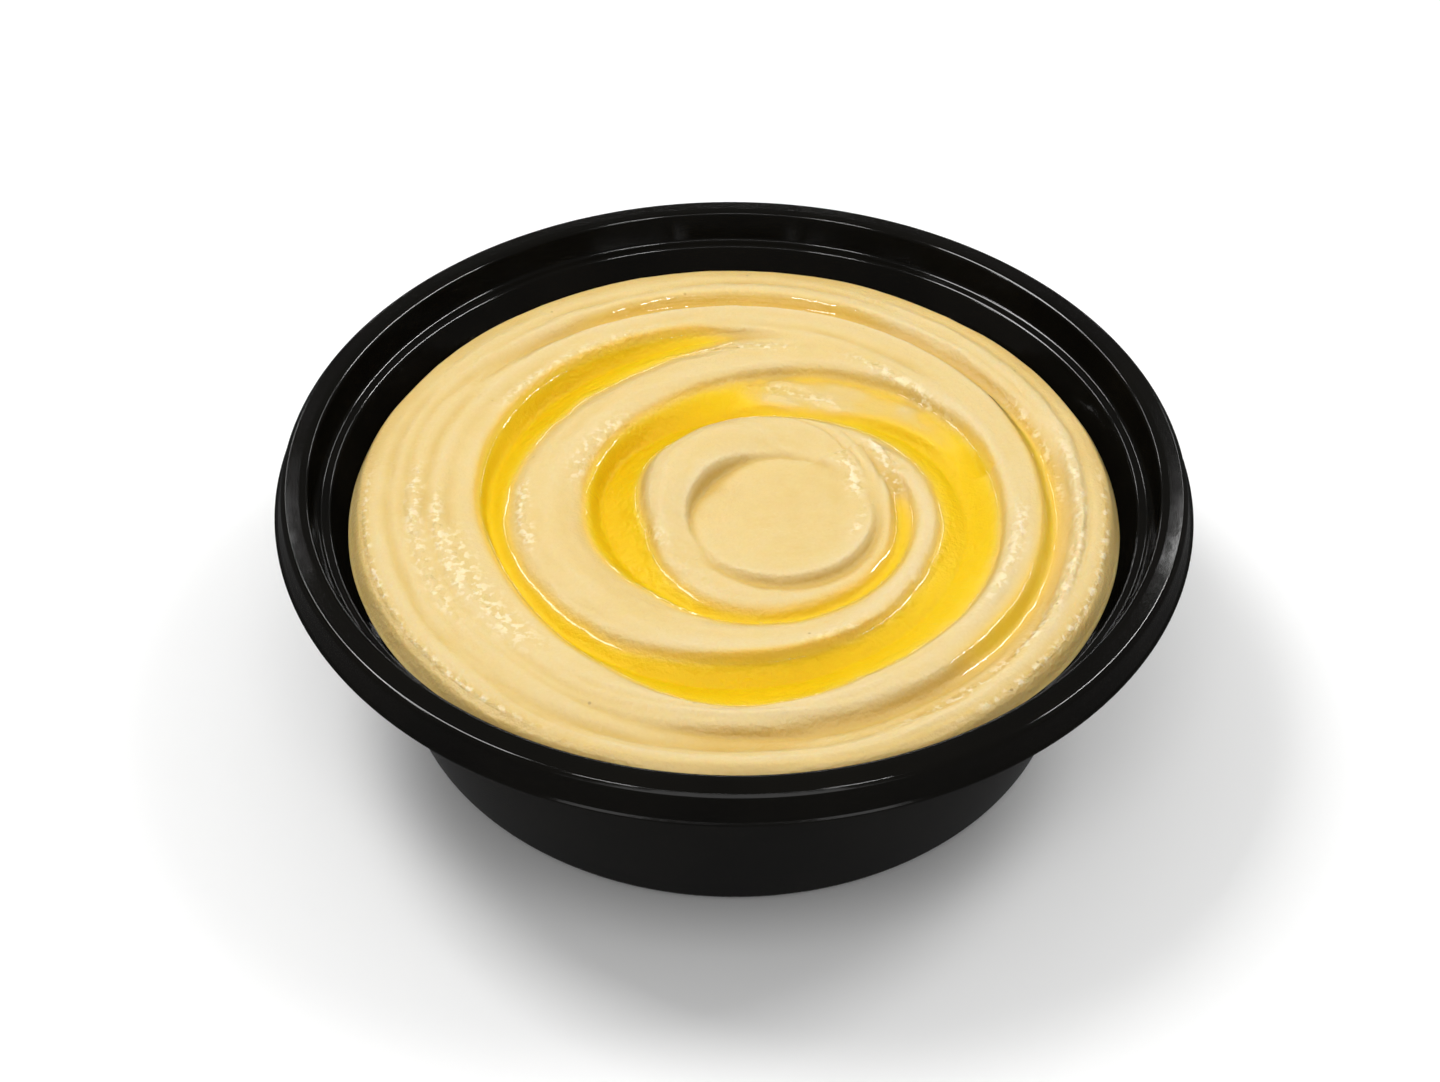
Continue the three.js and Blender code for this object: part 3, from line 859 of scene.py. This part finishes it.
def evaluated_mesh(piece, name):
    """The plain mesh that a piece's modifiers make; the modifiers are then removed"""
    graph = bpy.context.evaluated_depsgraph_get()
    mesh = bpy.data.meshes.new_from_object(piece.evaluated_get(graph), depsgraph=graph)
    mesh.name = name
    piece.modifiers.clear()
    piece.data = mesh
    return mesh


def point_outwards(mesh):
    shape = bmesh.new()
    shape.from_mesh(mesh)
    bmesh.ops.recalc_face_normals(shape, faces=shape.faces)
    shape.to_mesh(mesh)
    shape.free()


class HUMMUS_OT_bowl(bpy.types.Operator):
    """Turns the black bowl with its ledge, rim and skirt"""

    bl_idname = "hummus.bowl"
    bl_label = "Bowl"

    def execute(self, context):
        settings = context.scene.hummus_bowl
        corners = bowl_profile(settings)
        points = [(r * MM, 0.0, z * MM) for r, z, _ in corners]
        section = bpy.data.meshes.new("bowl_section")
        section.from_pydata(points, [(i, i + 1) for i in range(len(points) - 1)], [])
        add_values(section, "corner", [soft * MM for _, _, soft in corners])
        piece = place(section, "black_bowl")
        modifier = piece.modifiers.new("Turned", "NODES")
        modifier.node_group = bowl_tree()
        set_input(modifier, "Segments", settings.segments)
        set_input(modifier, "Corner steps", 5)
        set_input(modifier, "Material", bowl_material(settings))
        mesh = evaluated_mesh(piece, "black_bowl")
        point_outwards(mesh)
        weighted = piece.modifiers.new("Even shading", "WEIGHTED_NORMAL")
        weighted.keep_sharp = True
        evaluated_mesh(piece, "black_bowl")
        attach(piece, "root")
        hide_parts("bowl")
        return {"FINISHED"}


def polar_grid(settings):
    angles = np.arange(settings.steps_round) * 360 / settings.steps_round
    radii = np.linspace(0, FILL_RADIUS + 0.3, settings.steps_out + 1)
    return angles, radii


# Thin oil left in the outer groove: direction, spread, radius, half width and thickness
OUTER_OIL = (
    (350, 50, 64.9, 1.5, 0.62),
    (92, 44, 66.6, 1.5, 0.38),
)
POOL_REACH = 61.5
POOL_FADE = (0.02, 0.3)
OIL_EDGE = 0.14
LEAST_FILM = -0.08
FILM_REACH = 0.25
# How the paste is tinted: the oil counted deeper where steep under oil, a painted shade on those
# banks; painted shade in hollows and on steep banks with painted light on crests; and a fixed painted
# shade near the wall
STEEP_SHADE_DEPTH = 2.8
STEEP_FILM = 0.7
STEEP_SHADE = 0.95
PAINTED_SHADE_SPAN = 2.2
SOAK_SPAN = 1.1
PAINTED_SHADE_DEPTH = 0.7
EDGE_SPAN = (73.0, 76.0)
EDGE_SHADE = 0.35
# Rings of the hummus body under its surface: radius and height, down to its flat underside
SIDE_RINGS = ((FILL_RADIUS - 1.2, FILL_HEIGHT - 5), (BASE_RADIUS - 1.2, 3.2), (BASE_RADIUS - 3, 1.3))


def oil_on(plain, height, x, y, oil):
    """Thickness of the oil over the grid in millimetres: the level pool and the outer streaks"""
    radius, angle = np.hypot(x, y), np.degrees(np.arctan2(y, x))
    pool = oil_film(plain, oil.level / MM, oil.edge / MM)
    pool = pool + (plain - height) * fade(POOL_FADE, pool)
    film = np.where(radius < POOL_REACH, pool, 0.0)
    for direction, spread, middle, width, depth in OUTER_OIL:
        film = np.maximum(film, depth * streak(radius, angle, middle, width, direction, spread))
    return film - OIL_EDGE


def closed_film(name, x, y, height, thickness, keep):
    """A closed body of this thickness on a height grid, over the grid squares that are kept"""
    top, bottom = height + thickness, height + np.minimum(thickness, 0) - FILM_REACH
    rows, columns = x.shape
    number = np.arange(rows * columns).reshape(rows, columns)
    a = number[:, :-1]
    b = np.roll(number, -1, axis=0)[:, :-1]
    c = np.roll(number, -1, axis=0)[:, 1:]
    d = number[:, 1:]
    cells = np.stack([a, d, c, b], axis=-1)[keep]
    used, cells = np.unique(cells, return_inverse=True)
    cells = cells.reshape(-1, 4)
    count = len(used)
    edges = np.concatenate([cells[:, [i, (i + 1) % 4]] for i in range(4)])
    key = edges.min(1) * count + edges.max(1)
    _, first, times = np.unique(key, return_index=True, return_counts=True)
    border = edges[first[times == 1]]
    walls = np.stack([border[:, 1], border[:, 0], border[:, 0] + count, border[:, 1] + count], axis=-1)
    faces = np.concatenate([cells, cells[:, ::-1] + count, walls])
    flat = [np.ravel(v)[used] for v in (x, y, top, bottom)]
    upper = np.stack([flat[0], flat[1], flat[2]], axis=-1)
    lower = np.stack([flat[0], flat[1], flat[3]], axis=-1)
    mesh = mesh_from(name, np.concatenate([upper, lower]) * MM, faces.tolist())
    add_values(mesh, "thick", np.tile(np.clip(np.ravel(thickness)[used], 0, None), 2))
    return mesh


def hummus_body(angles, x, y, height):
    """Points and faces of the closed body: the surface's rings, the side, the flat underside"""
    surface = np.stack([x[:, 1:], y[:, 1:], height[:, 1:]], axis=-1).transpose(1, 0, 2)
    direction = np.stack([np.cos(np.radians(angles)), np.sin(np.radians(angles))], axis=-1)
    side = []
    for radius, level in SIDE_RINGS:
        side.append(np.column_stack([direction * radius, np.full(len(angles), level)]))
    rings = np.concatenate([surface, np.array(side)])
    middles = [[0, 0, height[0, 0]], [0, 0, SIDE_RINGS[-1][1]]]
    vertices = np.concatenate([rings.reshape(-1, 3), middles])
    number = np.arange(rings.shape[0] * rings.shape[1]).reshape(rings.shape[:2])
    after = np.roll(number, -1, axis=1)
    quads = np.stack([number[:-1], number[1:], after[1:], after[:-1]], axis=-1)
    faces = quads.reshape(-1, 4).tolist()
    top, bottom = len(vertices) - 2, len(vertices) - 1
    faces += [[top, int(i), int(j)] for i, j in zip(number[0], after[0])]
    faces += [[bottom, int(j), int(i)] for i, j in zip(number[-1], after[-1])]
    return vertices, faces


def hummus_tints(radii, x, y, height, film):
    """What tints the paste over the grid: depth of oil with painted shade on steep banks under it,
    painted shade in hollows and on steep banks with painted light on crests, and moist flecks
    """
    mean = blurred(height, radii, PAINTED_SHADE_SPAN)
    steep = np.clip(np.abs(np.gradient(mean, radii, axis=1)), 0, 1)
    film = np.clip(film, 0, None)
    # Painted shade: on steep banks under oil the oil is counted deeper, so the amber there is darker
    soaked = film + STEEP_SHADE_DEPTH * steep * np.clip(film / STEEP_FILM, 0, 1)
    # Painted shade: positive in hollows and on steep banks, negative (painted light) on crests, and
    # fixed near the wall
    shade = np.clip((mean - height) / PAINTED_SHADE_DEPTH + STEEP_SHADE * steep, -1, 1)
    shade = shade + (EDGE_SHADE - shade) * fade(EDGE_SPAN, radii)
    return {"oil_and_bank_shade_depth": blurred(soaked, radii, SOAK_SPAN), "painted_light_and_shade": shade, "moist": flecks(x, y)}


class HUMMUS_OT_hummus(bpy.types.Operator):
    """Makes the hummus body with its swirl, ridges, cap and spoon marks"""

    bl_idname = "hummus.hummus"
    bl_label = "Hummus"

    def execute(self, context):
        settings = context.scene.hummus_paste
        oil = context.scene.hummus_oil
        angles, radii = polar_grid(settings)
        x, y, plain, height = hummus_height(angles, radii)
        vertices, faces = hummus_body(angles, x, y, height)
        mesh = mesh_from("hummus_paste", vertices * MM, faces)
        film = oil_on(plain, height, x, y, oil)
        for name, grid in hummus_tints(radii, x, y, height, film).items():
            on_surface = grid[:, 1:].T.ravel()
            values = np.zeros(len(vertices))
            values[:len(on_surface)] = on_surface
            add_values(mesh, name, values)
        turn = np.arctan2(vertices[:, 1], vertices[:, 0])
        out = np.hypot(vertices[:, 0], vertices[:, 1])
        add_vectors(mesh, "ring", np.stack([np.cos(turn) * 2, np.sin(turn) * 2, out / 6], axis=-1))
        mesh.materials.append(hummus_material(settings, oil))
        piece = place(mesh, "hummus_paste")
        piece.visible_glossy = False
        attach(piece, "root")
        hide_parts("hummus")
        return {"FINISHED"}


class HUMMUS_OT_oil(bpy.types.Operator):
    """Pours the oil into the groove, level, with an edge that climbs the hummus a little"""

    bl_idname = "hummus.oil"
    bl_label = "Olive oil"

    def execute(self, context):
        oil = context.scene.hummus_oil
        angles, radii = polar_grid(context.scene.hummus_paste)
        x, y, plain, height = hummus_height(angles, radii)
        film = oil_on(plain, height, x, y, oil)
        near = film > LEAST_FILM
        for _ in range(2):
            near = near | np.roll(near, 1, axis=0) | np.roll(near, -1, axis=0)
            near[:, 1:] |= near[:, :-1].copy()
            near[:, :-1] |= near[:, 1:].copy()
        ahead = np.roll(near, -1, axis=0)
        keep = near[:, :-1] & near[:, 1:] & ahead[:, :-1] & ahead[:, 1:]
        keep[:, 0] = False
        mesh = closed_film("oil_pool", x, y, height, film, keep)
        mesh.materials.append(oil_material(oil))
        piece = place(mesh, "oil_pool")
        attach(piece, "root")
        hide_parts("olive_oil")
        return {"FINISHED"}


def area_light(name, position, target, size, power):
    data = bpy.data.lights.new(name, "AREA")
    data.shape = "RECTANGLE"
    data.size, data.size_y = size
    data.energy = power
    lamp = bpy.data.objects.new(name, data)
    lamp.location = position
    aim = Vector(target) - Vector(position)
    lamp.rotation_euler = aim.to_track_quat("-Z", "Y").to_euler()
    bpy.context.scene.collection.objects.link(lamp)
    return lamp


# Soft boxes: name, place, size in metres and share of the key's power
LAMPS = (
    ("key", (-0.46, 0.26, 0.92), (0.36, 0.36), 1.0),
    ("right box", (0.55, 0.20, 0.82), (0.30, 0.30), 0.50),
    ("front box", (0.0, -0.42, 1.02), (0.50, 0.30), 0.33),
)
# Strips that only show as highlights
STRIPS = (
    ("left strip", (-0.62, 0.24, 0.74), (0.80, 0.04), 0.5),
    ("right strip", (0.62, 0.24, 0.74), (0.80, 0.04), 1.1),
    ("front strip", (0.0, -0.42, 1.02), (0.90, 0.05), 1.4),
    ("near strip", (0.0, -0.65, 0.88), (1.20, 0.06), 0.05),
    ("back left strip", (-0.46, 0.86, 0.74), (0.05, 0.30), 0.13),
    ("back right strip", (0.46, 0.86, 0.74), (0.05, 0.30), 0.11),
    ("low back strip", (0.0, 1.05, 0.45), (0.90, 0.03), 0.22),
)


class HUMMUS_OT_stage(bpy.types.Operator):
    """Sets up the pale floor, the soft lights and the camera"""

    bl_idname = "hummus.stage"
    bl_label = "Stage"

    def execute(self, context):
        settings = context.scene.hummus_stage
        half = 3.0
        corners = [(-half, -half, 0), (half, -half, 0), (half, half, 0), (-half, half, 0)]
        mesh = mesh_from("floor", corners, [(0, 1, 2, 3)], smooth=False)
        mesh.materials.append(floor_material(settings.floor_colour))
        floor = place(mesh, "floor")
        floor.visible_glossy = False
        floor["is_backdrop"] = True

        world = bpy.data.worlds.new("Studio")
        context.scene.world = world
        world.use_nodes = True
        back = world.node_tree.nodes["Background"]
        shader = Shader(world.node_tree)
        glossy = shader.node("ShaderNodeLightPath").outputs["Is Glossy Ray"]
        room = shader.mix_colour(glossy, (1.0, 1.0, 1.0), (0.12, 0.12, 0.12))
        shader.link(room, back.inputs["Color"])
        back.inputs["Strength"].default_value = settings.world
        for name, place_at, size, share in LAMPS + STRIPS:
            lamp = area_light(name, place_at, (0, 0, 0.03), size, settings.key * share)
            lamp.visible_diffuse = (name, place_at, size, share) in LAMPS
            lamp.visible_glossy = name == "key" or not lamp.visible_diffuse

        data = bpy.data.cameras.new("camera")
        data.lens = CAMERA_LENS
        data.sensor_width = 36.0
        data.clip_end = 20.0
        camera = bpy.data.objects.new("camera", data)
        bpy.context.scene.collection.objects.link(camera)
        back_way = Vector((0, -math.cos(CAMERA_ELEVATION), math.sin(CAMERA_ELEVATION)))
        location = CAMERA_TARGET + CAMERA_DISTANCE * back_way
        turn = Matrix.Rotation(math.radians(90) - CAMERA_ELEVATION, 4, "X")
        roll = Matrix.Rotation(CAMERA_ROLL, 4, "Z")
        camera.matrix_world = Matrix.Translation(location) @ turn @ roll
        context.scene.camera = camera
        context.scene.view_settings.view_transform = "Standard"
        return {"FINISHED"}


class HUMMUS_PT_panel(bpy.types.Panel):
    """Lists the pieces and their settings"""

    bl_label = "Hummus"
    bl_idname = "HUMMUS_PT_panel"
    bl_space_type = "VIEW_3D"
    bl_region_type = "UI"
    bl_category = "Hummus"

    def draw(self, context):
        for operator, group in STEPS:
            box = self.layout.box()
            box.operator(operator)
            settings = getattr(context.scene, group)
            for name in settings.bl_rna.properties.keys():
                if name not in ("rna_type", "name"):
                    box.prop(settings, name)


GROUPS = (
    ("hummus_bowl", BowlSettings),
    ("hummus_paste", HummusSettings),
    ("hummus_oil", OilSettings),
    ("hummus_stage", StageSettings),
)
STEPS = (
    ("hummus.bowl", "hummus_bowl"),
    ("hummus.hummus", "hummus_paste"),
    ("hummus.oil", "hummus_oil"),
    ("hummus.stage", "hummus_stage"),
)
CLASSES = (HUMMUS_OT_bowl, HUMMUS_OT_hummus, HUMMUS_OT_oil, HUMMUS_OT_stage, HUMMUS_PT_panel)


def register():
    for name, group in GROUPS:
        bpy.utils.register_class(group)
        setattr(bpy.types.Scene, name, PointerProperty(type=group))
    for item in CLASSES:
        bpy.utils.register_class(item)


def unregister():
    for item in reversed(CLASSES):
        bpy.utils.unregister_class(item)
    for name, group in reversed(GROUPS):
        delattr(bpy.types.Scene, name)
        bpy.utils.unregister_class(group)


def main():
    register()
    bpy.ops.hummus.bowl()
    bpy.ops.hummus.hummus()
    bpy.ops.hummus.oil()
    bpy.ops.hummus.stage()
    sizes = {"cad": CAD_BOX, "visual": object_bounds()}
    sizes = {key: [[float(v) for v in corner] for corner in box] for key, box in sizes.items()}


if __name__ == "__main__":
    main()
